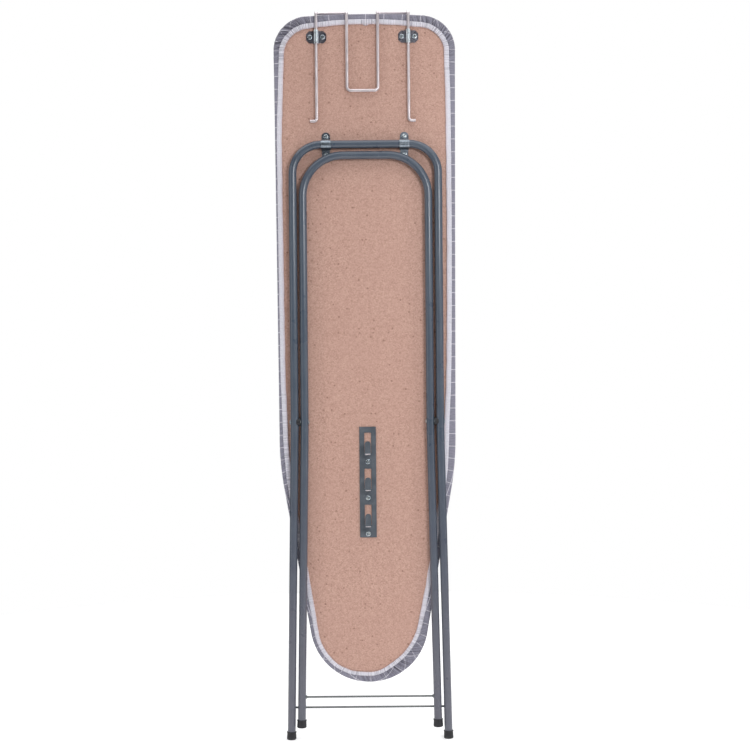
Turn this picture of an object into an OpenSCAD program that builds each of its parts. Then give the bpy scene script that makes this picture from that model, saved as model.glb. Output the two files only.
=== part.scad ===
// Folding ironing board, folded flat and standing upright on its outer feet.
// +Z runs up along the board, the ironing face looks to +Y and the folded legs lie on the -Y side.
// The board's underside is the plane y = 0. All sizes are in millimetres.

/* [Board] */
// Length of the covered board from its nose to its wide end
board_length = 1100; // [1060:5:1120]
// Width of the covered board where it is widest
board_width = 298.6; // [290:0.2:304]
// Height of the nose above the floor
nose_height = 91; // [86:1:101]
// Radius of the nose
nose_r = 97; // [90:1:104]
// Angle of the straight flanks beside the nose
flank_angle = 10; // [9:0.5:11]
// Radius of the shoulders, where the flanks meet the sides
shoulder_r = 500; // [300:10:700]
// Angle of the sides, which narrow slightly towards the nose
side_taper = 0.4; // [0.2:0.1:0.6]
// Radius of the two corners at the wide end
corner_r = 57; // [50:1:64]
// Radius of the slight crown of the wide end
crown_r = 1410; // [1200:10:1600]
// Thickness of the chipboard panel
panel_t = 12; // [11:0.5:13]
// Thickness of the felt and foam pad
pad_t = 5; // [4:0.5:6]
// Thickness of the cotton cover
cover_t = 1; // [0.8:0.1:1.2]
// How far the cover returns onto the underside
return_w = 6; // [5:0.5:8]
// Thickness of the cover's return on the underside
return_t = 0.8; // [0.6:0.1:1]
// Width of the elastic hem
hem_w = 8; // [6:0.5:10]
// Thickness of the elastic hem
hem_t = 1.2; // [1:0.1:1.4]

/* [Legs] */
// Outer diameter of the leg tubes
tube_d = 13; // [12.6:0.1:13.2]
// Wall thickness of the leg tubes
tube_wall = 1; // [0.8:0.1:1.2]
// Distance of the tube axes from the board's underside
tube_offset = 9; // [8.8:0.1:9.4]
// Half of the distance between the outer legs, above the pivots
outer_half = 119.5; // [118:0.5:121]
// Half of the distance between the inner legs, above the pivots
inner_half = 103; // [102:0.5:104]
// Bend radius of the outer frame's top corners
outer_bend_r = 47; // [44:1:47]
// Bend radius of the inner frame's top corners
inner_bend_r = 66; // [60:1:70]
// Height of the outer frame's top bar
outer_bar_z = 975; // [972:1:978]
// Height of the inner frame's top bar
inner_bar_z = 957; // [954:1:958]
// Height of the pivot rivets
pivot_z = 520; // [511:1:526]
// Outward splay of the legs below the pivots
splay = 1.05; // [0.8:0.05:1.2]
// Height of the inner feet above the floor
inner_foot_z = 19; // [15:1:24]

/* [Leg fittings] */
// Diameter of the crossbar wire
crossbar_d = 3.2; // [2.8:0.1:3.6]
// Height of the outer crossbar
outer_crossbar_z = 50; // [46:1:54]
// Height of the inner crossbar
inner_crossbar_z = 69; // [64:1:70]
// Diameter of the pivot rivets' shanks
rivet_d = 5; // [4.6:0.1:5.4]
// Diameter of the rivets' heads
rivet_head_d = 9; // [8:0.5:10]
// Diameter of the plastic spacers on the rivets
spacer_d = 13; // [12:0.5:14]
// Height of the foot caps
foot_h = 13; // [12:0.5:16]
// Radius of the foot caps near their base
foot_r = 7.9; // [7.6:0.1:8.2]

/* [Board fittings] */
// Thickness of the saddles' and clips' sheet metal
strap_t = 1.2; // [1:0.1:1.3]
// Distance of each saddle from the middle
saddle_x = 64.5; // [62:0.5:64.5]
// Width of each saddle's strap
saddle_w = 16; // [14:0.5:16]
// Place of the left rest clip across the board
clip_left_x = -79; // [-82:0.5:-76]
// Place of the right rest clip across the board
clip_right_x = 72.5; // [70:0.5:75]
// Height of the rest clips
clip_z = 1153; // [1146:1:1158]
// Distance of the clip screws from the clip's middle
clip_screw_x = 10.5; // [10:0.5:11]
// Diameter of the screws' heads
screw_head_d = 8; // [7.5:0.1:8.4]
// Diameter of the screws' shanks
screw_d = 4; // [3.5:0.1:4.1]

/* [Height latch] */
// Width of the latch plate
latch_w = 27.4; // [25:0.2:30]
// Length of the latch plate
latch_l = 182; // [180:1:190]
// Thickness of the latch plate
latch_t = 1.6; // [1.4:0.1:1.8]
// Height of the latch plate's lower end
latch_z = 329; // [321:1:336]
// Distance between two height positions
latch_pitch = 59.3; // [58:0.1:60]
// Width of each slot in the latch plate
slot_w = 11.3; // [10:0.1:13]
// Length of each slot
slot_l = 35.3; // [34:0.1:37]
// Width of each hook
hook_w = 10; // [9:0.1:10.4]
// Clear depth behind each hook, which takes the inner frame's bar
hook_depth = 14.8; // [14.4:0.1:15]
// Height of each hook
hook_h = 22; // [19:0.5:24]

/* [Iron rest] */
// Diameter of the iron rest's wire
rest_d = 5; // [4.6:0.1:5.2]
// Height of the rest's bent ends
rest_low_z = 1014; // [1010:0.5:1020]
// Height of the closed end of the rest's middle loop
rest_loop_z = 1064; // [1058:0.5:1074]
// Half of the middle loop's width
rest_loop_half = 25.5; // [22:0.5:28]
// Length of the bent ends, which turn outwards
rest_end_l = 11; // [9:0.5:13]
// Depth of the raised end over the board's edge
rest_rise = 12; // [11:0.5:14]

/* [Hidden] */
$fn = 96;
tube_r = tube_d / 2;
bore_r = tube_r - tube_wall;
leg_y = -tube_offset;
run_gap = 0.05;
fit_gap = 0.1;
pad_y = panel_t;
cover_y = panel_t + pad_t;

// Outline of the covered board: arcs with common tangents, all worked out from the sizes above
top_z = nose_height + board_length;
corner_angle = acos((board_width / 2 - corner_r) / (crown_r - corner_r));
crown_c = [0, top_z - crown_r];
corner_c = crown_c + (crown_r - corner_r) * [cos(corner_angle), sin(corner_angle)];
nose_c = [0, nose_height + nose_r];
side_k = corner_c * [cos(side_taper), -sin(side_taper)] + corner_r - shoulder_r;
flank_k = nose_c * [cos(flank_angle), -sin(flank_angle)] + nose_r - shoulder_r;
shoulder_c = [
  side_k * sin(flank_angle) - flank_k * sin(side_taper),
  side_k * cos(flank_angle) - flank_k * cos(side_taper)
] / sin(flank_angle - side_taper);

// Legs
splay_z = pivot_z - 12;
knuckle_gap = 0.1;
cap_floor = 3;
cap_bottom = 3.2;
cap_edge_r = 2;
foot_rim_r = 0.8;
weld_gap = 0.02;
outer_weld_r = 2.3;
inner_weld_r = 2.8;

// Screws: height of the domed head, length of the shank and the cross recess
screw_head_h = 1.4;
screw_l = 9;
recess = [3.8, 0.9, 0.7];
rivet_head_h = 1.8;

// Saddles: the two tabs, their screws' distances from the bar and the lower tab's reach
saddle_r = tube_r + run_gap;
upper_tab_w = 14;
lower_tab_w = 13;
upper_screw_up = 14;
lower_screw_down = 16;
lower_tab_l = 22;
saddle_upper_z = outer_bar_z + upper_screw_up;
saddle_lower_z = outer_bar_z - lower_screw_down;
lower_tab_end = outer_bar_z - lower_tab_l;

// Rest clips
clip_x = [clip_left_x, clip_right_x];
rest_r = rest_d / 2;
rest_y = -4.8;
clip_slot_r = rest_r + 0.08;
clip_w = 33;
clip_h = 20;
clip_strap_h = 22.5;
clip_foot_half = 4.75;
clip_chamfer = 5;

// Latch: the three hooks' bend lines and the three screws below them
first_hook_up = 18.4;
screw_below_hook = 12.6;
hook_z = [for (i = [0:2]) latch_z + first_hook_up + i * latch_pitch];
latch_screw_z = [for (z = hook_z) z - screw_below_hook];
hook_outer_r = 3;

// Iron rest
rest_bend_r = 4.5;
rest_loop_bend_r = 6;
rest_top_z = top_z + rest_r + 0.3;
rest_mid_x = (clip_x[0] + clip_x[1]) / 2;
rest_half = (clip_x[1] - clip_x[0]) / 2;

saddle_screws_at = [for (x = [-saddle_x, saddle_x], z = [saddle_upper_z, saddle_lower_z]) [x, z]];
clip_screws_at = [for (c = clip_x, s = [-1, 1]) [c + s * clip_screw_x, clip_z]];
latch_screws_at = [for (z = latch_screw_z) [0, z]];
all_screws_at = concat(saddle_screws_at, clip_screws_at, latch_screws_at);

// ---- Shared shapes ----

function arc_points(c, r, a0, a1, n) =
  [for (i = [0:n]) c + r * [cos(a0 + (a1 - a0) * i / n), sin(a0 + (a1 - a0) * i / n)]];

// Right half of the board's outline, moved outwards by d, from the nose's tip to the wide end
function half_outline(d) = concat(
  arc_points(nose_c, nose_r + d, -90, -flank_angle, 20),
  arc_points(shoulder_c, shoulder_r + d, -flank_angle, -side_taper, 6),
  arc_points(corner_c, corner_r + d, -side_taper, corner_angle, 18),
  arc_points(crown_c, crown_r + d, corner_angle, 90, 3)
);

// The board's outline in x and z as a plate that fills y = y0 to y1
module board_slab(d, y0, y1) {
  right = half_outline(d);
  left = [for (i = [len(right) - 2:-1:1]) [-right[i][0], right[i][1]]];
  translate([0, y1, 0])
    rotate([90, 0, 0])
      linear_extrude(y1 - y0)
        polygon(concat(right, left));
}

module both_sides() {
  children();
  mirror([1, 0, 0])
    children();
}

module on_side(side) {
  mirror([side < 0 ? 1 : 0, 0, 0])
    children();
}

module tube_section() {
  difference() {
    circle(tube_r);
    circle(bore_r);
  }
}

// Bent tube in the plane of the legs, about a centre at x, z
module tube_bend(x, z, r, a0, a1) {
  translate([x, 0, z])
    rotate([90, 0, 0])
      rotate([0, 0, a0])
        rotate_extrude(angle = a1 - a0)
          translate([r, 0])
            tube_section();
}

// Places its children on the splayed part of a leg, with +Z down the leg from where it turns outwards
module down_leg(half) {
  translate([half, leg_y, splay_z])
    rotate([0, 180 - splay, 0])
      children();
}

function leg_x(half, z) = half + (splay_z - z) * tan(splay);
function leg_drop(z) = (splay_z - z) / cos(splay);

// One U-shaped tube frame with its rivet holes; each leg turns outwards at a solid knuckle below the rivet
module leg_frame(half, bar_z, bend_r, foot_z) {
  corner_x = half - bend_r;
  corner_z = bar_z - bend_r;
  difference() {
    union() {
      translate([-corner_x, leg_y, bar_z])
        rotate([0, 90, 0])
          linear_extrude(2 * corner_x)
            tube_section();
      both_sides() {
        translate([0, leg_y, 0]) {
          tube_bend(corner_x, corner_z, bend_r, 0, 90);
          translate([half, 0, splay_z])
            linear_extrude(corner_z - splay_z)
              tube_section();
          translate([half, 0, splay_z])
            sphere(tube_r + knuckle_gap);
        }
        down_leg(half)
          linear_extrude(leg_drop(foot_z + cap_floor))
            tube_section();
      }
    }
    both_sides()
      translate([half - tube_d, leg_y, pivot_z])
        rotate([0, 90, 0])
          cylinder(r = rivet_d / 2 + run_gap, h = 2 * tube_d);
  }
}

// Foot cap on the end of a leg, with a flat base at foot_z
module foot(half, foot_z) {
  rise = foot_h - cap_bottom;
  rim_r = tube_r + 0.8;
  difference() {
    down_leg(half)
      translate([0, 0, leg_drop(foot_z + cap_floor)])
        rotate_extrude()
          difference() {
            union() {
              polygon([
                [0, -rise], [rim_r, -rise],
                [foot_r, cap_bottom - cap_edge_r], [0, cap_bottom - cap_edge_r]
              ]);
              translate([0, cap_bottom - cap_edge_r - 0.5])
                square([foot_r - cap_edge_r, cap_edge_r + 0.5]);
              translate([foot_r - cap_edge_r, cap_bottom - cap_edge_r])
                circle(cap_edge_r);
              translate([rim_r, foot_rim_r - rise])
                circle(foot_rim_r);
            }
            translate([0, -foot_h])
              square([tube_r + run_gap, foot_h]);
          }
    translate([leg_x(half, foot_z) - 2 * tube_d, leg_y - 2 * tube_d, foot_z - tube_d])
      cube([4 * tube_d, 4 * tube_d, tube_d]);
  }
}

// Domed head of radius r and height h on the plane z = 0, on its lower side
module dome(r, h) {
  ball_r = (r * r + h * h) / (2 * h);
  intersection() {
    translate([0, 0, ball_r - h])
      sphere(ball_r);
    translate([-r, -r, -h])
      cube([2 * r, 2 * r, h]);
  }
}

// Half section of a pan head with a flat top and a rounded edge
module pan_section() {
  r = screw_head_d / 2;
  edge = screw_head_h - 0.2;
  intersection() {
    union() {
      translate([0, -screw_head_h])
        square([r - edge, screw_head_h]);
      translate([0, -0.2])
        square([r, 0.2]);
      translate([r - edge, -0.2])
        circle(edge);
    }
    translate([0, -screw_head_h])
      square([r, screw_head_h]);
  }
}

// Wood screw through a face at y, pointing into the board
module screw(x, y, z) {
  translate([x, y, z])
    rotate([-90, 0, 0]) {
      difference() {
        rotate_extrude()
          pan_section();
        for (turn = [0, 90])
          rotate([0, 0, turn])
            translate([-recess[0] / 2, -recess[1] / 2, -screw_head_h - 0.1])
              cube([recess[0], recess[1], recess[2] + 0.1]);
      }
      cylinder(d = screw_d, h = screw_l);
    }
}

// Hole along Y at x, z
module hole_y(x, z, d, y0, y1) {
  translate([x, y0, z])
    rotate([-90, 0, 0])
      cylinder(d = d, h = y1 - y0);
}

// ---- Board ----

module board_panel() {
  color("tan")
    difference() {
      board_slab(-cover_t, 0, panel_t);
      for (p = all_screws_at)
        hole_y(p[0], p[1], screw_d + 2 * run_gap, -1, screw_l + 0.5);
    }
}

module foam_pad() {
  color("whitesmoke")
    board_slab(-cover_t, pad_y, cover_y);
}

module cover() {
  color("slategray")
    difference() {
      board_slab(0, -return_t, cover_y + cover_t);
      board_slab(-cover_t, 0, cover_y);
      board_slab(-return_w, -return_t - 1, 1);
    }
}

module elastic_hem() {
  color("lavender")
    difference() {
      board_slab(-return_w - fit_gap, -hem_t, 0);
      board_slab(-return_w - hem_w, -hem_t - 1, 1);
    }
}

// ---- Leg frames ----

module outer_leg_frame() {
  color("dimgray")
    leg_frame(outer_half, outer_bar_z, outer_bend_r, 0);
}

module inner_leg_frame() {
  color("dimgray")
    leg_frame(inner_half, inner_bar_z, inner_bend_r, inner_foot_z);
}

// Wire behind the legs, welded to the outer tubes and clear of the inner ones
module outer_crossbar() {
  half_l = leg_x(outer_half, outer_crossbar_z);
  wire_y = leg_y + tube_r + crossbar_d / 2 + 0.2;
  color("dimgray")
    difference() {
      union() {
        translate([-half_l, wire_y, outer_crossbar_z])
          rotate([0, 90, 0])
            cylinder(d = crossbar_d, h = 2 * half_l);
        both_sides()
          translate([half_l - 1.5, wire_y - 0.1, outer_crossbar_z])
            sphere(outer_weld_r);
      }
      both_sides()
        down_leg(outer_half)
          cylinder(r = tube_r + weld_gap, h = leg_drop(foot_h + cap_floor));
    }
}

// Wire between the inner tubes, welded to them at both ends
module inner_crossbar() {
  half_l = leg_x(inner_half, inner_crossbar_z);
  color("dimgray")
    difference() {
      union() {
        translate([-half_l, leg_y, inner_crossbar_z])
          rotate([0, 90, 0])
            cylinder(d = crossbar_d, h = 2 * half_l);
        both_sides()
          translate([half_l - tube_r, leg_y, inner_crossbar_z])
            sphere(inner_weld_r);
      }
      both_sides()
        down_leg(inner_half)
          cylinder(r = tube_r + weld_gap, h = leg_drop(inner_foot_z + foot_h));
    }
}

module outer_foot(side) {
  color("black")
    on_side(side)
      foot(outer_half, 0);
}

module inner_foot(side) {
  color("black")
    on_side(side)
      foot(inner_half, inner_foot_z);
}

// Rivet through both tubes and the spacer, with a domed head at each end
module pivot_rivet(side) {
  x0 = inner_half - tube_r - fit_gap;
  x1 = outer_half + tube_r + fit_gap;
  color("silver")
    on_side(side)
      translate([x0, leg_y, pivot_z])
        rotate([0, 90, 0]) {
          cylinder(d = rivet_d, h = x1 - x0);
          dome(rivet_head_d / 2, rivet_head_h);
          translate([0, 0, x1 - x0])
            rotate([180, 0, 0])
              dome(rivet_head_d / 2, rivet_head_h);
        }
}

// Plastic spacer between the tubes, hollowed on one side to sit round the outer tube
module pivot_spacer(side) {
  x0 = inner_half + tube_r + fit_gap;
  spacer_l = outer_half - x0 - 3;
  color("black")
    on_side(side)
      difference() {
        translate([x0, leg_y, pivot_z])
          rotate([0, 90, 0])
            difference() {
              cylinder(d = spacer_d, h = spacer_l);
              translate([0, 0, -1])
                cylinder(r = rivet_d / 2 + run_gap, h = spacer_l + 2);
            }
        translate([outer_half, leg_y, pivot_z - spacer_d])
          cylinder(r = tube_r + run_gap, h = 2 * spacer_d);
      }
}

// ---- Saddles that hinge the outer frame to the board ----

// Side view of the strap in y and z about the bar's axis: two walls and a half ring
module strap_profile(inner_r, reach) {
  outer_r = inner_r + strap_t;
  difference() {
    union() {
      circle(outer_r);
      translate([0, -outer_r])
        square([reach, 2 * outer_r]);
    }
    circle(inner_r);
    translate([0, -inner_r])
      square([reach + 1, 2 * inner_r]);
  }
}

module leg_saddle(x) {
  wall = saddle_r + strap_t;
  color("silver")
    difference() {
      union() {
        translate([x - saddle_w / 2, leg_y, outer_bar_z])
          rotate([90, 0, 90])
            linear_extrude(saddle_w)
              strap_profile(saddle_r, tube_offset);
        translate([x, 0, 0])
          rotate([90, 0, 0])
            linear_extrude(strap_t) {
              translate([-upper_tab_w / 2, outer_bar_z + saddle_r])
                square([upper_tab_w, saddle_upper_z - outer_bar_z - saddle_r]);
              translate([0, saddle_upper_z])
                circle(upper_tab_w / 2);
              polygon([
                [-saddle_w / 2, outer_bar_z - saddle_r],
                [-saddle_w / 2, outer_bar_z - wall],
                [-lower_tab_w / 2, outer_bar_z - wall - 1.5],
                [-lower_tab_w / 2, lower_tab_end + 2],
                [-lower_tab_w / 2 + 2, lower_tab_end],
                [lower_tab_w / 2 - 2, lower_tab_end],
                [lower_tab_w / 2, lower_tab_end + 2],
                [lower_tab_w / 2, outer_bar_z - wall - 1.5],
                [saddle_w / 2, outer_bar_z - wall],
                [saddle_w / 2, outer_bar_z - saddle_r]
              ]);
            }
      }
      for (z = [saddle_upper_z, saddle_lower_z])
        hole_y(x, z, screw_d + 2 * fit_gap, -2 * strap_t, 1);
    }
}

module saddle_screws() {
  color("silver")
    for (p = saddle_screws_at)
      screw(p[0], -strap_t, p[1]);
}

// ---- Iron rest and its clips ----

// Two wings on the board and a raised strap over the wire, open towards the board
module rest_clip(x) {
  color("silver")
    translate([x, 0, clip_z])
      difference() {
        union() {
          rotate([90, 0, 0])
            linear_extrude(strap_t)
              polygon([
                [-clip_w / 2, -clip_h / 2 + clip_chamfer],
                [-clip_w / 2 + clip_chamfer, -clip_h / 2],
                [clip_w / 2 - clip_chamfer, -clip_h / 2],
                [clip_w / 2, -clip_h / 2 + clip_chamfer],
                [clip_w / 2, clip_h / 2 - clip_chamfer],
                [clip_w / 2 - clip_chamfer, clip_h / 2],
                [-clip_w / 2 + clip_chamfer, clip_h / 2],
                [-clip_w / 2, clip_h / 2 - clip_chamfer]
              ]);
          translate([0, 0, -clip_strap_h / 2])
            linear_extrude(clip_strap_h) {
              translate([0, rest_y])
                circle(clip_slot_r + strap_t);
              polygon([
                [-clip_foot_half, 0], [clip_foot_half, 0],
                [clip_slot_r + strap_t, rest_y], [-clip_slot_r - strap_t, rest_y]
              ]);
            }
        }
        translate([0, 0, -clip_h]) {
          translate([0, rest_y, 0])
            cylinder(r = clip_slot_r, h = 2 * clip_h);
          translate([-clip_slot_r, rest_y, 0])
            cube([2 * clip_slot_r, 2 * clip_h, 2 * clip_h]);
        }
        for (s = [-1, 1])
          hole_y(s * clip_screw_x, 0, screw_d + 2 * fit_gap, -2 * strap_t, 1);
      }
}

module clip_screws() {
  color("silver")
    for (p = clip_screws_at)
      screw(p[0], -strap_t, p[1]);
}

// Straight wire between two points on one of the axes
module wire(from, to) {
  d = to - from;
  l = norm(d);
  translate(from)
    rotate([0, acos(d[2] / l), atan2(d[1], d[0])])
      cylinder(r = rest_r, h = l);
}

// Quarter bend of the wire about c, from direction a to direction b
module wire_bend(c, a, b, r) {
  n = cross(a, b);
  multmatrix([
    [a[0], b[0], n[0], c[0]],
    [a[1], b[1], n[1], c[1]],
    [a[2], b[2], n[2], c[2]],
    [0, 0, 0, 1]
  ])
    rotate_extrude(angle = 90)
      translate([r, 0])
        circle(rest_r);
}

// One half of the rest: bent end, outer rod, raised top and inner rod down to the middle loop
module rest_half_wire() {
  b = rest_bend_r;
  k = rest_loop_bend_r;
  back_y = rest_y + rest_rise;
  rod_top = rest_top_z - b;
  loop_low = rest_loop_z + k;
  x = rest_half;
  u = rest_loop_half;
  wire([x + b, rest_y, rest_low_z], [x + rest_end_l, rest_y, rest_low_z]);
  wire_bend([x + b, rest_y, rest_low_z + b], [-1, 0, 0], [0, 0, -1], b);
  wire([x, rest_y, rest_low_z + b], [x, rest_y, rod_top]);
  wire_bend([x, rest_y + b, rod_top], [0, -1, 0], [0, 0, 1], b);
  wire([x, rest_y + b, rest_top_z], [x, back_y - b, rest_top_z]);
  wire_bend([x - b, back_y - b, rest_top_z], [1, 0, 0], [0, 1, 0], b);
  wire([u + b, back_y, rest_top_z], [x - b, back_y, rest_top_z]);
  wire_bend([u + b, back_y - b, rest_top_z], [-1, 0, 0], [0, 1, 0], b);
  wire([u, rest_y + b, rest_top_z], [u, back_y - b, rest_top_z]);
  wire_bend([u, rest_y + b, rod_top], [0, -1, 0], [0, 0, 1], b);
  wire([u, rest_y, loop_low], [u, rest_y, rod_top]);
  wire_bend([u - k, rest_y, loop_low], [1, 0, 0], [0, 0, -1], k);
}

module iron_rest() {
  color("silver")
    translate([rest_mid_x, 0, 0]) {
      both_sides()
        rest_half_wire();
      wire(
        [-rest_loop_half + rest_loop_bend_r, rest_y, rest_loop_z],
        [rest_loop_half - rest_loop_bend_r, rest_y, rest_loop_z]
      );
    }
}

// ---- Height latch ----

// One hook, bent out from the plate at z and turned up to hold the inner frame's bar
module hook(z) {
  out_y = -latch_t - hook_depth;
  elbow_y = out_y - latch_t + hook_outer_r;
  translate([0, 0, z]) {
    translate([-hook_w / 2, 0, 0])
      rotate([90, 0, 90])
        linear_extrude(hook_w) {
          translate([elbow_y, 0])
            square([-elbow_y, latch_t]);
          intersection() {
            translate([elbow_y, hook_outer_r])
              difference() {
                circle(hook_outer_r);
                circle(hook_outer_r - latch_t);
              }
            translate([out_y - latch_t, 0])
              square(hook_outer_r);
          }
        }
    translate([0, out_y, 0])
      rotate([90, 0, 0])
        linear_extrude(latch_t) {
          translate([-hook_w / 2, hook_outer_r])
            square([hook_w, hook_h - hook_w / 2 - hook_outer_r]);
          translate([0, hook_h - hook_w / 2])
            circle(hook_w / 2);
        }
  }
}

module latch_plate() {
  color("slategray") {
    difference() {
      translate([-latch_w / 2, -latch_t, latch_z])
        cube([latch_w, latch_t, latch_l]);
      for (z = hook_z)
        translate([-slot_w / 2, -2 * latch_t, z + latch_t])
          cube([slot_w, 3 * latch_t, slot_l - latch_t]);
      for (z = latch_screw_z)
        hole_y(0, z, screw_d + 2 * fit_gap, -2 * latch_t, 1);
    }
    for (z = hook_z)
      hook(z);
  }
}

module latch_screws() {
  color("silver")
    for (p = latch_screws_at)
      screw(p[0], -latch_t, p[1]);
}

board_panel();
foam_pad();
cover();
elastic_hem();
outer_leg_frame();
inner_leg_frame();
outer_crossbar();
inner_crossbar();
outer_foot(-1);  // outer_foot_left
outer_foot(1);  // outer_foot_right
inner_foot(-1);  // inner_foot_left
inner_foot(1);  // inner_foot_right
pivot_rivet(-1);  // pivot_rivet_left
pivot_rivet(1);  // pivot_rivet_right
pivot_spacer(-1);  // pivot_spacer_left
pivot_spacer(1);  // pivot_spacer_right
leg_saddle(-saddle_x);  // leg_saddle_left
leg_saddle(saddle_x);  // leg_saddle_right
saddle_screws();
rest_clip(clip_x[0]);  // rest_clip_left
rest_clip(clip_x[1]);  // rest_clip_right
clip_screws();
iron_rest();
latch_plate();
latch_screws();
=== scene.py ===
"""Looks of the folding ironing board: fabric, pad, elastic hem, materials, studio, light and camera."""
import math

import bmesh
import bpy
from mathutils import Matrix, Vector, noise


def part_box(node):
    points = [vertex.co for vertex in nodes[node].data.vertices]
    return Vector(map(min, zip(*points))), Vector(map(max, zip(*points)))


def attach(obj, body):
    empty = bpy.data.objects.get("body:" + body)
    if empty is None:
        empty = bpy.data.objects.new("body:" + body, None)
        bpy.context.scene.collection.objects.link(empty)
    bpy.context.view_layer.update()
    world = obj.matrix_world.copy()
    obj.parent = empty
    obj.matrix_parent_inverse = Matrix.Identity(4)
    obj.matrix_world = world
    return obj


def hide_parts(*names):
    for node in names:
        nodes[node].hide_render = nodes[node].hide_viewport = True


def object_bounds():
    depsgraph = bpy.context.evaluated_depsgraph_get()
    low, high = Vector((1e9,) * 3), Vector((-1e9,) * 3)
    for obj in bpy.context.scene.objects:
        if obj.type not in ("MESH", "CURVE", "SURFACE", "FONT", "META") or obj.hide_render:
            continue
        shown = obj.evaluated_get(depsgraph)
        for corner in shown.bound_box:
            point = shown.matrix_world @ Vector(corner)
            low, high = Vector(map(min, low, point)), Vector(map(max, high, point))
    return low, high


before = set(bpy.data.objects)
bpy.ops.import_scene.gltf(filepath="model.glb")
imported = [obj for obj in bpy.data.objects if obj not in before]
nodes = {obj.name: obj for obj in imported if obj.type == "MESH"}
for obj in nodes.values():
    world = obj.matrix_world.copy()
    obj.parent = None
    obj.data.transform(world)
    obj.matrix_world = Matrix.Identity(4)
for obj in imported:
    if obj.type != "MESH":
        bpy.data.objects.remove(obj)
cad_lo, cad_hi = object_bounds()
MM = 0.001

# ---- Places taken from the frame, and the outline's radii ----

cover_lo, cover_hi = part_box("cover")
panel_lo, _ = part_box("board_panel")
pad_lo, pad_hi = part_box("foam_pad")
latch_lo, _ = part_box("latch_plate")
UNDERSIDE_Y = panel_lo.y
FACE_Y = cover_hi.y
NOSE_Z = cover_lo.z
TOP_Z = cover_hi.z
HALF_WIDTH = (cover_hi.x - cover_lo.x) / 2

NOSE_R = 97 * MM
SHOULDER_R = 500 * MM
CORNER_R = 57 * MM
CROWN_R = 1410 * MM
FLANK_ANGLE = math.radians(10)
SIDE_TAPER = math.radians(0.4)

CLOTH_T = 0.6 * MM
# Check printed on the cotton: pitch and the place of one line, across the board and along it
GRID_ACROSS = (30.8 * MM, 3.0 * MM)
GRID_ALONG = (21.1 * MM, 752 * MM)

# Width of the cover's return outside the elastic, against the share of the way from the nose to the
# middle of the wide end. The cover sits askew, so the two sides differ.
RETURN_RIGHT = (
    (0.0, 10.2), (0.044, 15.8), (0.08, 15.2), (0.12, 10.0), (0.18, 7.6), (0.26, 9.2), (0.34, 11.0),
    (0.38, 10.2), (0.42, 7.8), (0.48, 6.4), (0.62, 5.8), (0.74, 6.8), (0.8, 7.8), (0.835, 9.4),
    (0.865, 10.4), (0.895, 12.2), (0.925, 11.6), (0.96, 9.6), (1.0, 9.0),
)
RETURN_LEFT = (
    (0.0, 10.2), (0.03, 7.4), (0.06, 5.8), (0.12, 5.4), (0.28, 6.0), (0.335, 6.8), (0.385, 5.0),
    (0.44, 3.2), (0.52, 2.8), (0.7, 2.8), (0.765, 3.5), (0.8, 5.6), (0.835, 7.4), (0.86, 9.0),
    (0.89, 12.8), (0.92, 12.6), (0.96, 9.8), (1.0, 9.0),
)
# Width of the elastic, which is drawn narrower round the nose
HEM_WIDTH = ((0.0, 6.4), (0.08, 6.6), (0.16, 8.0), (0.4, 8.4), (1.0, 8.4))
# How strongly the fabric is gathered at the same places, from 0 to 1
GATHER_RIGHT = (
    (0.0, 0.55), (0.044, 0.7), (0.1, 0.5), (0.16, 0.18), (0.5, 0.1),
    (0.82, 0.15), (0.87, 0.7), (0.9, 0.8), (0.94, 0.45), (1.0, 0.2),
)
GATHER_LEFT = (
    (0.0, 0.55), (0.06, 0.4), (0.16, 0.25), (0.24, 0.5), (0.34, 0.5), (0.42, 0.15),
    (0.82, 0.15), (0.87, 0.9), (0.9, 1.0), (0.94, 0.5), (1.0, 0.2),
)


# ---- The board's outline ----

def direction(angle):
    return Vector((math.cos(angle), math.sin(angle)))


def outline_arcs():
    """(centre, radius, first angle, last angle) of the arcs of the right half, from the nose up."""
    corner_angle = math.acos((HALF_WIDTH - CORNER_R) / (CROWN_R - CORNER_R))
    crown_c = Vector((0, TOP_Z - CROWN_R))
    corner_c = crown_c + (CROWN_R - CORNER_R) * direction(corner_angle)
    nose_c = Vector((0, NOSE_Z + NOSE_R))
    side_n = direction(-SIDE_TAPER)
    flank_n = direction(-FLANK_ANGLE)
    side_k = corner_c.dot(side_n) + CORNER_R - SHOULDER_R
    flank_k = nose_c.dot(flank_n) + NOSE_R - SHOULDER_R
    turn = math.sin(FLANK_ANGLE - SIDE_TAPER)
    shoulder_c = Vector((
        side_k * math.sin(FLANK_ANGLE) - flank_k * math.sin(SIDE_TAPER),
        side_k * math.cos(FLANK_ANGLE) - flank_k * math.cos(SIDE_TAPER),
    )) / turn
    return (
        (nose_c, NOSE_R, -math.pi / 2, -FLANK_ANGLE),
        (shoulder_c, SHOULDER_R, -FLANK_ANGLE, -SIDE_TAPER),
        (corner_c, CORNER_R, -SIDE_TAPER, corner_angle),
        (crown_c, CROWN_R, corner_angle, math.pi / 2),
    )


ARCS = outline_arcs()
ARC_STEPS = 160


def half_path():
    """Points of the right half with their distance from the nose's tip and their outward angle."""
    rows = []
    length = 0
    for centre, radius, first, last in ARCS:
        for k in range(ARC_STEPS + 1):
            angle = first + (last - first) * k / ARC_STEPS
            point = centre + radius * direction(angle)
            if rows:
                length += (point - rows[-1][1]).length
            rows.append((length, point, angle))
    return rows


HALF_PATH = half_path()
HALF_LENGTH = HALF_PATH[-1][0]


def mix(a, b, t):
    return a + (b - a) * t


def smooth(t):
    t = min(max(t, 0.0), 1.0)
    return t * t * (3 - 2 * t)


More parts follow.
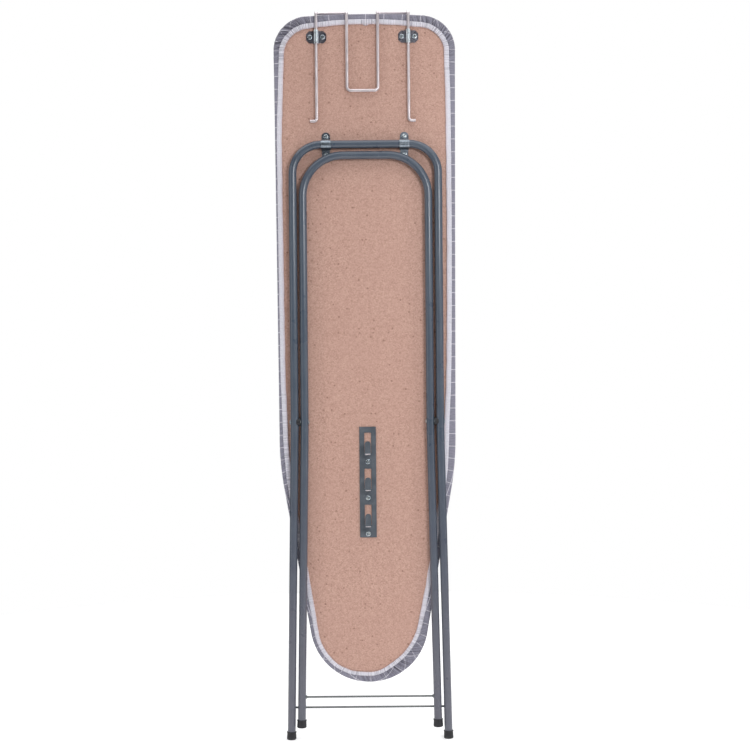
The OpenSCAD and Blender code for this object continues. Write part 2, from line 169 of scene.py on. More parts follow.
def keyed(keys, at):
    """Value on a smooth curve through given keys."""
    k = 0
    while k < len(keys) - 2 and at > keys[k + 1][0]:
        k += 1
    (a, va), (b, vb) = keys[k], keys[k + 1]
    slopes = []
    for i in (k, k + 1):
        if 0 < i < len(keys) - 1:
            slopes.append((keys[i + 1][1] - keys[i - 1][1]) / (keys[i + 1][0] - keys[i - 1][0]))
        else:
            slopes.append(0.0)
    t = (at - a) / (b - a)
    h = b - a
    return (
        va * (1 + 2 * t) * (1 - t) ** 2 + slopes[0] * h * t * (1 - t) ** 2
        + vb * t * t * (3 - 2 * t) + slopes[1] * h * t * t * (t - 1)
    )


class Station:
    """One place on the outline: its point, its outward normal and what the cover does there."""

    def __init__(self, point, angle, mirrored, share):
        side = -1 if mirrored else 1
        self.at = HALF_LENGTH * (2 - share if mirrored else share)
        self.point = Vector((point.x * side, point.y))
        self.normal = Vector((math.cos(angle) * side, math.sin(angle)))
        self.return_w = keyed(RETURN_LEFT if mirrored else RETURN_RIGHT, share) * MM
        self.hem_w = keyed(HEM_WIDTH, share) * MM
        self.gather = max(keyed(GATHER_LEFT if mirrored else GATHER_RIGHT, share), 0.05)

    def inward(self, distance):
        return self.point - self.normal * distance


def shares(half, closer):
    """half + 1 places from 0 to 1, closer together where the cloth is gathered, by that factor."""
    samples = 2000
    sums = [0.0]
    for i in range(samples):
        share = (i + 0.5) / samples
        sums.append(sums[-1] + 1 + closer * max(keyed(GATHER_RIGHT, share), keyed(GATHER_LEFT, share)))
    places = []
    k = 0
    for i in range(half + 1):
        wanted = sums[-1] * i / half
        while k < samples - 1 and sums[k + 1] < wanted:
            k += 1
        places.append((k + (wanted - sums[k]) / (sums[k + 1] - sums[k])) / samples)
    return places


def stations(count, closer=0.0):
    """count stations, from the nose's tip up the right side and down the left one."""
    rows = []
    k = 0
    for share in shares(count // 2, closer):
        length = HALF_LENGTH * share
        while k < len(HALF_PATH) - 2 and HALF_PATH[k + 1][0] < length:
            k += 1
        (a, pa, aa), (b, pb, ab) = HALF_PATH[k], HALF_PATH[k + 1]
        t = (length - a) / max(b - a, 1e-9)
        rows.append((pa.lerp(pb, t), mix(aa, ab, t), share))
    right = [Station(p, a, False, s) for p, a, s in rows]
    left = [Station(p, a, True, s) for p, a, s in rows[1:-1]]
    return right + left[::-1]


# ---- Mesh helpers ----

def new_mesh_object(name, points, faces, coords=None, coord_name="cloth_co", smooth_shade=True):
    """A mesh object from points and faces, with an optional named vector on each vertex."""
    mesh = bpy.data.meshes.new(name)
    mesh.from_pydata([tuple(p) for p in points], [], faces)
    if coords is not None:
        layer = mesh.attributes.new(coord_name, "FLOAT_VECTOR", "POINT")
        layer.data.foreach_set("vector", [c for v in coords for c in v])
    mesh.validate()
    mesh.update()
    obj = bpy.data.objects.new(name, mesh)
    bpy.context.scene.collection.objects.link(obj)
    if smooth_shade:
        mesh.polygons.foreach_set("use_smooth", [True] * len(mesh.polygons))
    return obj


def ring_faces(rings, per_ring, closed_rings=False):
    """Quads between neighbouring rings of per_ring vertices each."""
    faces = []
    last = rings if closed_rings else rings - 1
    for r in range(last):
        a = r * per_ring
        b = ((r + 1) % rings) * per_ring
        for i in range(per_ring):
            j = (i + 1) % per_ring
            faces.append((a + i, a + j, b + j, b + i))
    return faces


def apply_modifiers(obj):
    """Makes the result of obj's modifiers its mesh."""
    depsgraph = bpy.context.evaluated_depsgraph_get()
    evaluated = obj.evaluated_get(depsgraph)
    mesh = bpy.data.meshes.new_from_object(evaluated, preserve_all_data_layers=True, depsgraph=depsgraph)
    old = obj.data
    obj.modifiers.clear()
    obj.data = mesh
    bpy.data.meshes.remove(old)


def merge_close(obj, distance=0.02 * MM):
    bm = bmesh.new()
    bm.from_mesh(obj.data)
    bmesh.ops.remove_doubles(bm, verts=bm.verts, dist=distance)
    bmesh.ops.recalc_face_normals(bm, faces=bm.faces)
    bm.to_mesh(obj.data)
    bm.free()
    obj.data.update()


def ripple(at, wavelength, seed):
    """Irregular pleats along the outline, from 0 in a narrow valley to about 1 on a round crest."""
    drift = noise.noise(Vector((at / (wavelength * 3), seed, 0))) * 1.9
    phase = at / wavelength * math.pi + drift * math.pi
    crest = abs(math.sin(phase)) ** 0.7
    strength = 0.62 + 0.55 * noise.noise(Vector((at / (wavelength * 1.9), seed + 9, 4)))
    return crest * strength


def fine_pleats(at):
    return ripple(at, 4.6 * MM, 3.1)


def coarse_pleats(at):
    return ripple(at, 10.5 * MM, 7.7)


def hem_ribs(at):
    return ripple(at, 3.1 * MM, 5.2)


# The line inside the outline on which the rings of the face and the pad close
SPINE_LOW = NOSE_Z + NOSE_R
SPINE_HIGH = TOP_Z - HALF_WIDTH * 0.8


def spine_point(point):
    return Vector((0.0, min(max(point.y, SPINE_LOW), SPINE_HIGH)))


def face_wave(x, z):
    """Slight unevenness of the padded ironing face."""
    broad = noise.noise(Vector((x * 9, z * 6, 1.5)))
    close = noise.noise(Vector((x * 31, z * 17, 6.5)))
    return (0.45 * broad + 0.16 * close) * MM


# ---- The cotton cover ----

COVER_STATIONS = 2200
COVER_CLOSER = 2.6
TOP_ROUND = 6 * MM
BOTTOM_ROUND = 2 * MM
RETURN_Y = UNDERSIDE_Y - 0.75 * MM
# How far the cotton runs on under the elastic
TUCK = 3 * MM
# Steps of the section over the return, the lower rounding, the side and the upper rounding
RETURN_STEPS, BOTTOM_STEPS, SIDE_STEPS, TOP_STEPS = 9, 4, 5, 5
# Share of a pleat's height: under the elastic, on the return beside it, at the board's lower edge,
# at both ends of the side, and on the face
W_TUCKED, W_RETURN, W_EDGE, W_LOW, W_HIGH, W_FACE = 0.35, 1.0, 0.75, 0.5, 0.2, 0.03


def cover_profile(station):
    """(inward distance, y, pleat weight, length along the cloth from the face's edge), from the hem
    to the face."""
    rows = []
    for k in range(RETURN_STEPS + 1):
        t = k / RETURN_STEPS
        inward = mix(station.return_w + TUCK, BOTTOM_ROUND, t)
        weight = mix(W_RETURN, W_EDGE, smooth((t - 0.2) / 0.8))
        if inward > station.return_w:
            weight = W_TUCKED
        rows.append((inward, RETURN_Y, weight))
    for k in range(1, BOTTOM_STEPS + 1):
        angle = math.pi / 2 * k / BOTTOM_STEPS
        rows.append((
            BOTTOM_ROUND * (1 - math.sin(angle)),
            RETURN_Y + BOTTOM_ROUND * (1 - math.cos(angle)),
            mix(W_EDGE, W_LOW, k / BOTTOM_STEPS),
        ))
    side_low = RETURN_Y + BOTTOM_ROUND
    side_high = FACE_Y - TOP_ROUND
    for k in range(1, SIDE_STEPS + 1):
        t = k / SIDE_STEPS
        rows.append((0.0, mix(side_low, side_high, t), mix(W_LOW, W_HIGH, t)))
    for k in range(1, TOP_STEPS + 1):
        angle = math.pi / 2 * k / TOP_STEPS
        rows.append((
            TOP_ROUND * (1 - math.cos(angle)),
            side_high + TOP_ROUND * math.sin(angle),
            mix(W_HIGH, W_FACE, k / TOP_STEPS),
        ))
    lengths = [0.0]
    for (u0, y0, _), (u1, y1, _) in zip(rows[::-1], rows[-2::-1]):
        lengths.append(lengths[-1] + math.hypot(u1 - u0, y1 - y0))
    return [(u, y, w, l) for (u, y, w), l in zip(rows, lengths[::-1])]


PLEAT_DEEPEST = 2.4 * MM


def pleat(station, at):
    """How far the cloth stands out here, from 0 to 1, and how deep in a valley it is, from 0 to 1."""
    fine = fine_pleats(at)
    coarse = coarse_pleats(at)
    height = min(station.gather * (0.7 * fine + 0.5 * coarse), 1.0)
    valley = station.gather * max(1 - fine / 0.5, 0.0) * (0.45 + 0.55 * max(1 - coarse / 0.6, 0.0))
    return height, valley


def band_surface(rim):
    """Rows of the smooth cover, from the hem to the face. Each cell holds its point, its outward
    direction, its pleat weight, its point in the flat cut and its length from the face's edge."""
    profiles = [cover_profile(s) for s in rim]
    table = []
    for r in range(len(profiles[0])):
        row = []
        for s, profile in zip(rim, profiles):
            u, y, weight, length = profile[r]
            side = smooth((y - RETURN_Y) / BOTTOM_ROUND)
            p = s.inward(u)
            out = Vector((s.normal.x * side, side - 1, s.normal.y * side)).normalized()
            flat = s.point + s.normal * (length - TOP_ROUND)
            row.append((Vector((p.x, y, p.y)), out, weight, flat, length))
        table.append(row)
    return table


def seeded_heights(table, rim):
    """Irregular pleats, which lean, as heights above the smooth surface and valley depths."""
    heights = []
    valleys = []
    for row in table:
        for s, (_, _, weight, _, length) in zip(rim, row):
            lean = length * (0.45 + 0.5 * noise.noise(Vector((s.at * 16, 2.2, 0))))
            height, valley = pleat(s, s.at + lean)
            heights.append(height * weight * PLEAT_DEEPEST)
            valleys.append(valley * weight)
    return heights, valleys


SETTLE_FRAMES = 24
# Share of the seeded heights from which the cloth starts, and share of the settled ones that is kept
SETTLE_SEED_SHARE = 0.7
SETTLED_SHARE = 0.6
# Rows of the band that stay pinned, at the elastic and at the face
PINNED_AT_HEM = 3
PINNED_AT_FACE = 2
SLIDE_MOST = 1.2 * MM
# Points to each side, and the height difference, that count for a full valley
LOCAL_REACH = 7
VALLEY_DEPTH = 0.8 * MM


def settle(table, heights):
    """Cloth simulation of the band, from shallower seeded pleats. The cloth is cut to its flat shape,
    which is longer at each corner and round the nose than the way round the board, so it buckles into
    gathers between the elastic and the face. Returns the heights and the slides of its points."""
    scene = bpy.context.scene
    cells = [cell for row in table for cell in row]
    count = len(table[0])
    start = [c[0] + c[1] * (h * SETTLE_SEED_SHARE) for c, h in zip(cells, heights)]
    run = new_mesh_object("cloth_run", start, ring_faces(len(table), count))
    run.shape_key_add(name="Basis")
    cut = run.shape_key_add(name="cut")
    cut.data.foreach_set("co", [v for c in cells for v in (c[3].x, 0.0, c[3].y)])
    held = run.vertex_groups.new(name="held")
    pinned = list(range(PINNED_AT_HEM * count))
    pinned += range(len(cells) - PINNED_AT_FACE * count, len(cells))
    held.add(pinned, 1.0, "REPLACE")
    modifier = run.modifiers.new("cloth", "CLOTH")
    cloth = modifier.settings
    cloth.quality = 6
    cloth.mass = 0.02
    cloth.air_damping = 3
    cloth.tension_stiffness = 25
    cloth.compression_stiffness = 25
    cloth.shear_stiffness = 5
    cloth.bending_stiffness = 0.02
    cloth.vertex_group_mass = held.name
    cloth.rest_shape_key = cut
    cloth.effector_weights.gravity = 0
    modifier.point_cache.frame_start = 1
    modifier.point_cache.frame_end = SETTLE_FRAMES
    for step in range(1, SETTLE_FRAMES + 1):
        scene.frame_set(step)
    mesh = run.evaluated_get(bpy.context.evaluated_depsgraph_get()).data
    flat = [0.0] * (3 * len(cells))
    mesh.vertices.foreach_get("co", flat)
    lifted = []
    slides = []
    for i, (point, out, weight, _, _) in enumerate(cells):
        move = Vector(flat[3 * i:3 * i + 3]) - point
        height = move.dot(out)
        slide = move - out * height
        if slide.length > SLIDE_MOST:
            slide *= SLIDE_MOST / slide.length
        lifted.append(min(max(height, 0.0), PLEAT_DEEPEST * (0.25 + 0.75 * weight)))
        slides.append(slide * min(weight * 2, 1.0))
    bpy.data.objects.remove(run)
    bpy.data.meshes.remove(bpy.data.meshes["cloth_run"])
    scene.frame_set(1)
    return lifted, slides


def valleys_of(heights, table, rim):
    """How deep each point lies between the pleats beside it, from 0 to 1."""
    count = len(rim)
    valleys = []
    for r, row in enumerate(table):
        line = heights[r * count:(r + 1) * count]
        for i, (s, cell) in enumerate(zip(rim, row)):
            near = max(line[(i + k) % count] for k in range(-LOCAL_REACH, LOCAL_REACH + 1))
            depth = (near - line[i]) / VALLEY_DEPTH
            valleys.append(min(depth, 1.0) * s.gather * cell[2])
    return valleys


# Places of the face's rings between its edge and the spine, and how far the face lies below the top
FACE_RINGS = (0.03, 0.08, 0.15, 0.24, 0.34, 0.45, 0.57, 0.7, 0.84, 1.0)
FACE_SINK = 0.3 * MM


def make_cover():
    """Cotton over the whole board: the gathered band along the edge and the ironing face."""
    rim = stations(COVER_STATIONS, COVER_CLOSER)
    table = band_surface(rim)
    heights, valleys = seeded_heights(table, rim)
    slides = [Vector()] * len(heights)
    settled, slides = settle(table, heights)
    heights = [mix(seeded, own, SETTLED_SHARE) for seeded, own in zip(heights, settled)]
    valleys = [max(v, w) for v, w in zip(valleys, valleys_of(heights, table, rim))]
    points = []
    coords = []
    cells = [cell for row in table for cell in row]
    for (point, out, _, flat, _), height, slide, valley in zip(cells, heights, slides, valleys):
        points.append(point + out * height + slide)
        # the third value of cloth_co is the valley depth, which the cotton material uses for painted
        # shade in the pleats
        coords.append((flat.x, flat.y, valley))
    for t in FACE_RINGS:
        for s in rim:
            edge = s.inward(TOP_ROUND)
            p = edge.lerp(spine_point(edge), t)
            fade = smooth(t / 0.15)
            points.append((p.x, FACE_Y + face_wave(p.x, p.y) * fade - FACE_SINK * fade, p.y))
            coords.append((p.x, p.y, 0.0))
    faces = ring_faces(len(table) + len(FACE_RINGS), len(rim))
    cover = new_mesh_object("cotton_cover", points, faces, coords)
    merge_close(cover)
    solid = cover.modifiers.new("thickness", "SOLIDIFY")
    solid.thickness = CLOTH_T
    solid.offset = -1
    apply_modifiers(cover)
    return cover


# ---- The pad ----

PAD_STATIONS = 720
PAD_ROUND = 5.2 * MM
PAD_ROUND_STEPS = 6
PAD_INSET = 0.9 * MM
PAD_FELT = 2 * MM
PAD_GROOVE = 0.5 * MM
PAD_CORNER = 0.4 * MM
PAD_SINK = 0.5 * MM
# Inward distance of the innermost row that runs parallel to the edge below the pad
PAD_BASE_IN = 30 * MM
PAD_RINGS = (0.05, 0.14, 0.26, 0.4, 0.55, 0.72, 0.88, 1.0)


def make_pad():
    """Foam over a felt layer, rounded along its upper edge, with the groove between the layers."""
    rim = stations(PAD_STATIONS)
    count = len(rim)
    low_y = pad_lo.y + 0.05 * MM
    high_y = pad_hi.y - 0.2 * MM
    felt_y = low_y + PAD_FELT
    foam_y = felt_y + PAD_CORNER
    section = [
        (PAD_BASE_IN, low_y), (12 * MM, low_y), (PAD_CORNER, low_y), (0.0, low_y + PAD_CORNER),
        (0.0, felt_y - PAD_CORNER), (PAD_GROOVE, felt_y), (0.1 * MM, foam_y),
    ]
    for k in range(1, PAD_ROUND_STEPS + 1):
        angle = math.pi / 2 * k / PAD_ROUND_STEPS
        section.append((PAD_ROUND * (1 - math.cos(angle)), foam_y + (high_y - foam_y) * math.sin(angle)))
    points = []
    for u, y in section:
        for s in rim:
            p = s.inward(PAD_INSET + u)
            points.append((p.x, y, p.y))
    for t in PAD_RINGS:
        sink = PAD_SINK * smooth(t / 0.15)
        for s in rim:
            edge = s.inward(PAD_INSET + PAD_ROUND)
            p = edge.lerp(spine_point(edge), t)
            points.append((p.x, high_y - sink + face_wave(p.x, p.y) * 0.5, p.y))
    faces = ring_faces(len(section) + len(PAD_RINGS), count)
    base = len(points)
    for t in PAD_RINGS:
        for s in rim:
            edge = s.inward(PAD_INSET + PAD_BASE_IN)
            p = edge.lerp(spine_point(edge), t)
            points.append((p.x, low_y, p.y))
    for i in range(count):
        j = (i + 1) % count
        faces.append((i, base + i, base + j, j))
    for a, b, c, d in ring_faces(len(PAD_RINGS), count):
        faces.append((base + a, base + d, base + c, base + b))
    pad = new_mesh_object("felt_and_foam_pad", points, faces, [(p[0], p[2], p[1]) for p in points])
    merge_close(pad)
    return pad


# ---- The elastic hem ----

HEM_STATIONS = 3440
HEM_T = 1.1 * MM
HEM_SECTION = 10
# Gap between the cotton and the elastic, and the least gap between the elastic and the bare board
HEM_GAP = 0.1 * MM
HEM_CLEAR = 0.06 * MM


def station_at(rim, at):
    """The station nearest below a distance along the whole outline."""
    return rim[int(at / (2 * HALF_LENGTH) * len(rim)) % len(rim)]


def oval(k, count):
    """Places across and up, from -1 to 1, of point k of a flat, full oval of count points."""
    angle = 2 * math.pi * k / count
    across = math.copysign(abs(math.cos(angle)) ** 0.6, math.cos(angle))
    up = math.copysign(abs(math.sin(angle)) ** 0.7, math.sin(angle))
    return across, up


def hem_shape(s, at):
    """Middle of the band's inward distance, half its width, its thickness and its height here."""
    rib = hem_ribs(at)
    slow = noise.noise(Vector((at * 45, 8.8, 0)))
    half = s.hem_w / 2 * (1 + 0.05 * slow) + (rib - 0.4) * 0.7 * MM * s.gather
    thick = HEM_T * (0.72 + rib * (0.12 + 0.6 * s.gather))
    height = 0.3 * MM * s.gather * fine_pleats(at)
    pull = (coarse_pleats(at) - 0.5) * 0.9 * MM * s.gather
    middle = s.return_w + s.hem_w / 2 + 0.5 * MM * slow + pull
    return middle, half, thick, height


def make_hem():
    """The elastic band, gathered with the cotton, all the way round."""
    rim = stations(HEM_STATIONS)
    points = []
    coords = []
    for k in range(HEM_SECTION):
        across, up = oval(k, HEM_SECTION)
        for s in rim:
            middle, half, thick, height = hem_shape(s, s.at)
            p = s.inward(middle + across * half)
            y = RETURN_Y - HEM_GAP - height - thick / 2 - up * thick / 2
            points.append((p.x, min(y, UNDERSIDE_Y - HEM_CLEAR), p.y))
            # the third value of hem_co is how deep the point lies between the gathered ribs, used for
            # painted shade on the elastic
            between = max(1 - hem_ribs(s.at) / 0.55, 0.0)
            coords.append((s.at, across * half, between * s.gather))
    faces = ring_faces(HEM_SECTION, len(rim), closed_rings=True)
    hem = new_mesh_object("elastic_binding", points, faces, coords, "hem_co")
    merge_close(hem)
    return hem


STITCH_PITCH = 3.4 * MM
STITCH_L = 2.3 * MM
STITCH_R = 0.22 * MM
# Inward place of the row, as a share of the elastic's half width from its middle
STITCH_IN = 0.42
STITCH_RINGS = 5
STITCH_SIDES = 6


def make_stitches():
    """One row of machine stitches on the elastic's inner half, each a short raised loop of thread."""
    total = 2 * HALF_LENGTH
    rim = stations(HEM_STATIONS)
    points = []
    faces = []
    for n in range(int(total / STITCH_PITCH)):
        base = len(points)
        for r in range(STITCH_RINGS):
            t = r / (STITCH_RINGS - 1)
            at = (n * STITCH_PITCH + STITCH_L * t) % total
            s = station_at(rim, at)
            middle, half, thick, height = hem_shape(s, at)
            centre = s.inward(middle + half * STITCH_IN)
            lift = math.sin(math.pi * t)
            y = RETURN_Y - HEM_GAP - height - thick * 0.93 - STITCH_R * (0.9 * lift - 0.6)
            radius = STITCH_R * (0.35 + 0.65 * math.sqrt(max(lift, 0.0)))
            for k in range(STITCH_SIDES):
                angle = 2 * math.pi * k / STITCH_SIDES
                p = centre + s.normal * (radius * math.cos(angle))
                points.append((p.x, y + radius * math.sin(angle), p.y))
        for face in ring_faces(STITCH_RINGS, STITCH_SIDES):
            faces.append(tuple(base + i for i in face))
        faces.append(tuple(base + k for k in range(STITCH_SIDES))[::-1])
        faces.append(tuple(base + (STITCH_RINGS - 1) * STITCH_SIDES + k for k in range(STITCH_SIDES)))
    return new_mesh_object("hem_stitching", points, faces)


JOINT_AT = -5 * MM
JOINT_L = 22 * MM
JOINT_STEPS = 44
JOINT_SECTION = 14
# Where the overlap bulges, and how far the bulge spreads, as shares of its length
KNOT_AT = 0.62
KNOT_SPREAD = 0.2


def make_hem_joint():
    """The overlap at the middle of the wide end, where the elastic's ends are sewn together askew."""
    rim = stations(HEM_STATIONS)
    points = []
    coords = []
    for k in range(JOINT_SECTION):
        across, up = oval(k, JOINT_SECTION)
        for r in range(JOINT_STEPS + 1):
            t = r / JOINT_STEPS
            at = HALF_LENGTH + JOINT_AT + (t - 0.5) * JOINT_L
            s = station_at(rim, at)
            middle, half, thick, height = hem_shape(s, at)
            end = max(max(1 - abs(2 * t - 1) ** 8, 0.0) ** 0.5, 0.06)
            knot = math.exp(-((t - KNOT_AT) / KNOT_SPREAD) ** 2)
            fold = abs(math.sin(t * 17)) ** 0.6
            width = half * (0.98 + 0.34 * knot - 0.1 * (1 - fold)) * end
            p = s.inward(middle + 1.3 * MM * knot + across * width)
            body = thick * (0.7 + 1.1 * knot + 0.4 * fold) * end
            y = RETURN_Y - HEM_GAP - height - thick * 0.9 - up * body * 0.6
            points.append((p.x, min(y, UNDERSIDE_Y - HEM_CLEAR), p.y))
            # the third value of hem_co darkens the folds of the overlap, as painted shade
            coords.append((at, across * width, (1 - fold) * 0.7))
    faces = []
    row = JOINT_STEPS + 1
    for k in range(JOINT_SECTION):
        a = k * row
        b = ((k + 1) % JOINT_SECTION) * row
        for r in range(JOINT_STEPS):
            faces.append((a + r, a + r + 1, b + r + 1, b + r))
    faces.append(tuple(k * row for k in range(JOINT_SECTION)))
    faces.append(tuple(k * row + JOINT_STEPS for k in range(JOINT_SECTION))[::-1])
    joint = new_mesh_object("elastic_joint", points, faces, coords, "hem_co")
    merge_close(joint)
    return joint


# ---- Material helpers ----

def srgb(r, g, b):
    """Scene-linear colour of an sRGB colour from 0 to 255."""
    def linear(v):
        v = v / 255
        return v / 12.92 if v <= 0.04045 else ((v + 0.055) / 1.055) ** 2.4
    return (linear(r), linear(g), linear(b), 1.0)


class Graph:
    """A material and short ways to add nodes to it."""

    def __init__(self, name, **values):
        self.material = bpy.data.materials.new(name)
        self.material.use_nodes = True
        self.tree = self.material.node_tree
        self.shader = self.tree.nodes["Principled BSDF"]
        for key, value in values.items():
            self.shader.inputs[key.replace("_", " ")].default_value = value

    def node(self, kind, **settings):
        node = self.tree.nodes.new(kind)
        for key, value in settings.items():
            setattr(node, key, value)
        return node

    def link(self, out, into):
        self.tree.links.new(out, into)

    def put(self, value, socket):
        if isinstance(value, bpy.types.NodeSocket):
            self.link(value, socket)
        else:
            socket.default_value = value

    def position(self):
        return self.node("ShaderNodeTexCoord").outputs["Object"]

    def attribute(self, name):
        return self.node("ShaderNodeAttribute", attribute_name=name).outputs["Vector"]

    def scaled(self, vector, factors):
        node = self.node("ShaderNodeVectorMath", operation="MULTIPLY")
        self.link(vector, node.inputs[0])
        node.inputs[1].default_value = factors
        return node.outputs[0]

    def added(self, vector, other):
        node = self.node("ShaderNodeVectorMath", operation="ADD")
        self.link(vector, node.inputs[0])
        self.put(other, node.inputs[1])
        return node.outputs[0]

    def split(self, vector):
        node = self.node("ShaderNodeSeparateXYZ")
        self.link(vector, node.inputs[0])
        return node.outputs

    def math(self, operation, a, b=0.0):
        node = self.node("ShaderNodeMath", operation=operation)
        self.put(a, node.inputs[0])
        self.put(b, node.inputs[1])
        return node.outputs[0]

    def noise(self, vector, scale, detail=2.0, roughness=0.5, out="Fac"):
        node = self.node("ShaderNodeTexNoise")
        self.link(vector, node.inputs["Vector"])
        node.inputs["Scale"].default_value = scale
        node.inputs["Detail"].default_value = detail
        node.inputs["Roughness"].default_value = roughness
        return node.outputs[out]

    def voronoi(self, vector, scale, out="Distance"):
        node = self.node("ShaderNodeTexVoronoi")
        self.link(vector, node.inputs["Vector"])
        node.inputs["Scale"].default_value = scale
        return node.outputs[out]

    def span(self, value, low, high, to_low=0.0, to_high=1.0):
        node = self.node("ShaderNodeMapRange")
        node.clamp = True
        self.put(value, node.inputs["Value"])
        limits = {"From Min": low, "From Max": high, "To Min": to_low, "To Max": to_high}
        for key, number in limits.items():
            node.inputs[key].default_value = number
        return node.outputs["Result"]

    def ramp(self, value, stops):
        node = self.node("ShaderNodeValToRGB")
        self.put(value, node.inputs["Fac"])
        elements = node.color_ramp.elements
        while len(elements) < len(stops):
            elements.new(0.5)
        for element, (at, colour) in zip(elements, stops):
            element.position = at
            element.color = colour
        return node.outputs["Color"]

    def blend(self, factor, a, b, mode="MIX"):
        node = self.node("ShaderNodeMix", data_type="RGBA", blend_type=mode)
        self.put(factor, node.inputs["Factor"])
        self.put(a, node.inputs[6])
        self.put(b, node.inputs[7])
        return node.outputs[2]

    def bump(self, height, strength, distance, normal=None):
        node = self.node("ShaderNodeBump")
        node.inputs["Strength"].default_value = strength
        node.inputs["Distance"].default_value = distance
        self.link(height, node.inputs["Height"])
        if normal is not None:
            self.link(normal, node.inputs["Normal"])
        return node.outputs["Normal"]

    def into(self, socket, value):
        self.link(value, self.shader.inputs[socket])


# ---- Materials ----

WEAVE_PITCH = 0.62 * MM
# Half width of a line of the check where it is full, and where it ends
LINE_FULL = 0.35 * MM
LINE_END = 0.62 * MM


def cotton():
    """Grey-lavender plain weave with a white check printed on it."""
    g = Graph(
        "cotton_check", Roughness=0.85, Sheen_Weight=0.25, Sheen_Roughness=0.5, Specular_IOR_Level=0.25,
    )
    co = g.attribute("cloth_co")
    wander = g.scaled(g.noise(co, 55, 2, out="Color"), (0.0009, 0.0009, 0))
    bent = g.added(co, wander)
    x, z, _ = g.split(bent)
    # painted shade: the cloth is darkened towards srgb(62, 60, 72) in the valleys between the pleats, by
    # the valley depth kept in cloth_co
    valley = g.span(g.split(co)[2], 0.0, 0.55, 0.0, 0.85)
    line = None
    for axis, (pitch, place) in ((x, GRID_ACROSS), (z, GRID_ALONG)):
        share = g.math("FRACT", g.math("ADD", g.math("DIVIDE", axis, pitch), 200.5 - place / pitch))
        distance = g.math("ABSOLUTE", g.math("SUBTRACT", share, 0.5))
        thread = g.span(distance, LINE_FULL / pitch, LINE_END / pitch, 1.0, 0.0)
        line = thread if line is None else g.math("MAXIMUM", line, thread)
    threads = g.noise(g.scaled(co, (900, 900, 1)), 1.0, 2, 0.6)
    print_wear_and_hook_highlight = g.span(threads, 0.3, 0.6, 0.72, 1.0)
    line = g.math("MULTIPLY", line, print_wear_and_hook_highlight)
    warp = g.math("SINE", g.math("MULTIPLY", x, 2 * math.pi / WEAVE_PITCH))
    weft = g.math("SINE", g.math("MULTIPLY", z, 2 * math.pi / WEAVE_PITCH))
    weave = g.math("MULTIPLY", warp, weft)
    slub = g.noise(g.scaled(co, (60, 700, 1)), 1.0, 3, 0.6)
    tone = g.math("ADD", g.math("MULTIPLY", slub, 0.7), g.math("MULTIPLY", weave, 0.09))
    ground = g.ramp(tone, (
        (0.2, srgb(124, 123, 138)), (0.45, srgb(149, 147, 161)), (0.7, srgb(168, 166, 179)),
    ))
    cloudy = g.span(g.noise(co, 14, 3), 0.3, 0.7, 0.93, 1.05)
    shade = g.ramp(cloudy, ((0.0, (0.8, 0.8, 0.8, 1)), (1.0, (1, 1, 1, 1))))
    ground = g.blend(1.0, ground, shade, "MULTIPLY")
    checked = g.blend(line, ground, srgb(222, 219, 229))
    g.into("Base Color", g.blend(valley, checked, srgb(62, 60, 72)))
    relief = g.math("ADD", g.math("MULTIPLY", weave, 0.5), g.math("MULTIPLY", line, 0.6))
    normal = g.bump(relief, 0.35, 0.08 * MM)
    creases = g.noise(co, 95, 4, 0.62)
    g.into("Normal", g.bump(creases, 0.35, 0.6 * MM, normal))
    return g.material


def felt():
    """Off-white felt and foam with loose fibres."""
    g = Graph("pad_felt", Roughness=0.95, Sheen_Weight=0.3)
    co = g.attribute("cloth_co")
    fibre = g.noise(g.scaled(co, (900, 350, 900)), 1.0, 5, 0.7)
    cells = g.voronoi(co, 900)
    g.into("Base Color", g.ramp(fibre, ((0.25, srgb(196, 192, 186)), (0.7, srgb(232, 229, 223)))))
    g.into("Normal", g.bump(g.math("ADD", fibre, cells), 0.5, 0.3 * MM))
    return g.material


def elastic():
    """White elastic tape: rows of knitted ribs across its width and covered rubber threads along it."""
    g = Graph("white_elastic", Roughness=0.72, Sheen_Weight=0.2, Subsurface_Weight=0.04)
    co = g.attribute("hem_co")
    along, across, between = g.split(co)
    wobble = g.noise(g.scaled(co, (420, 420, 1)), 1.0, 2)
    turns = g.math("MULTIPLY", along, 2 * math.pi / (1.05 * MM))
    rib = g.math("SINE", g.math("ADD", turns, g.math("MULTIPLY", wobble, 2.2)))
    thread = g.math("SINE", g.math("MULTIPLY", across, 2 * math.pi / (1.25 * MM)))
    relief = g.math("ADD", g.math("MULTIPLY", rib, 0.5), g.math("MULTIPLY", thread, 0.35))
    shade = g.math("ADD", g.math("MULTIPLY", relief, 0.18), g.math("MULTIPLY", wobble, 0.6))
    colour = g.ramp(shade, (
        (0.1, srgb(210, 206, 216)), (0.35, srgb(226, 223, 232)), (0.7, srgb(241, 238, 244)),
    ))
    inner = g.span(across, 0.5 * MM, 3.6 * MM, 0.0, 0.75)
    colour = g.blend(inner, colour, srgb(209, 194, 200))
    soil = g.span(g.noise(g.scaled(co, (26, 26, 1)), 1.0, 3), 0.55, 0.8, 0.0, 0.3)
    soiled = g.blend(soil, colour, srgb(214, 207, 212))
    # painted shade: the elastic is darkened towards srgb(132, 126, 140) between its gathered ribs and in
    # the folds of its joint
    valley = g.span(between, 0.0, 0.5, 0.0, 0.7)
    g.into("Base Color", g.blend(valley, soiled, srgb(132, 126, 140)))
    g.into("Normal", g.bump(relief, 0.45, 0.16 * MM))
    return g.material


def thread_white():
    """White twisted polyester thread."""
    g = Graph("sewing_thread", Roughness=0.6, Sheen_Weight=0.2)
    at = g.position()
    twist = g.noise(g.scaled(at, (4200, 4200, 4200)), 1.0, 2)
    g.into("Base Color", g.ramp(twist, ((0.3, srgb(206, 203, 216)), (0.7, srgb(238, 236, 244)))))
    g.into("Normal", g.bump(twist, 0.5, 0.05 * MM))
    return g.material


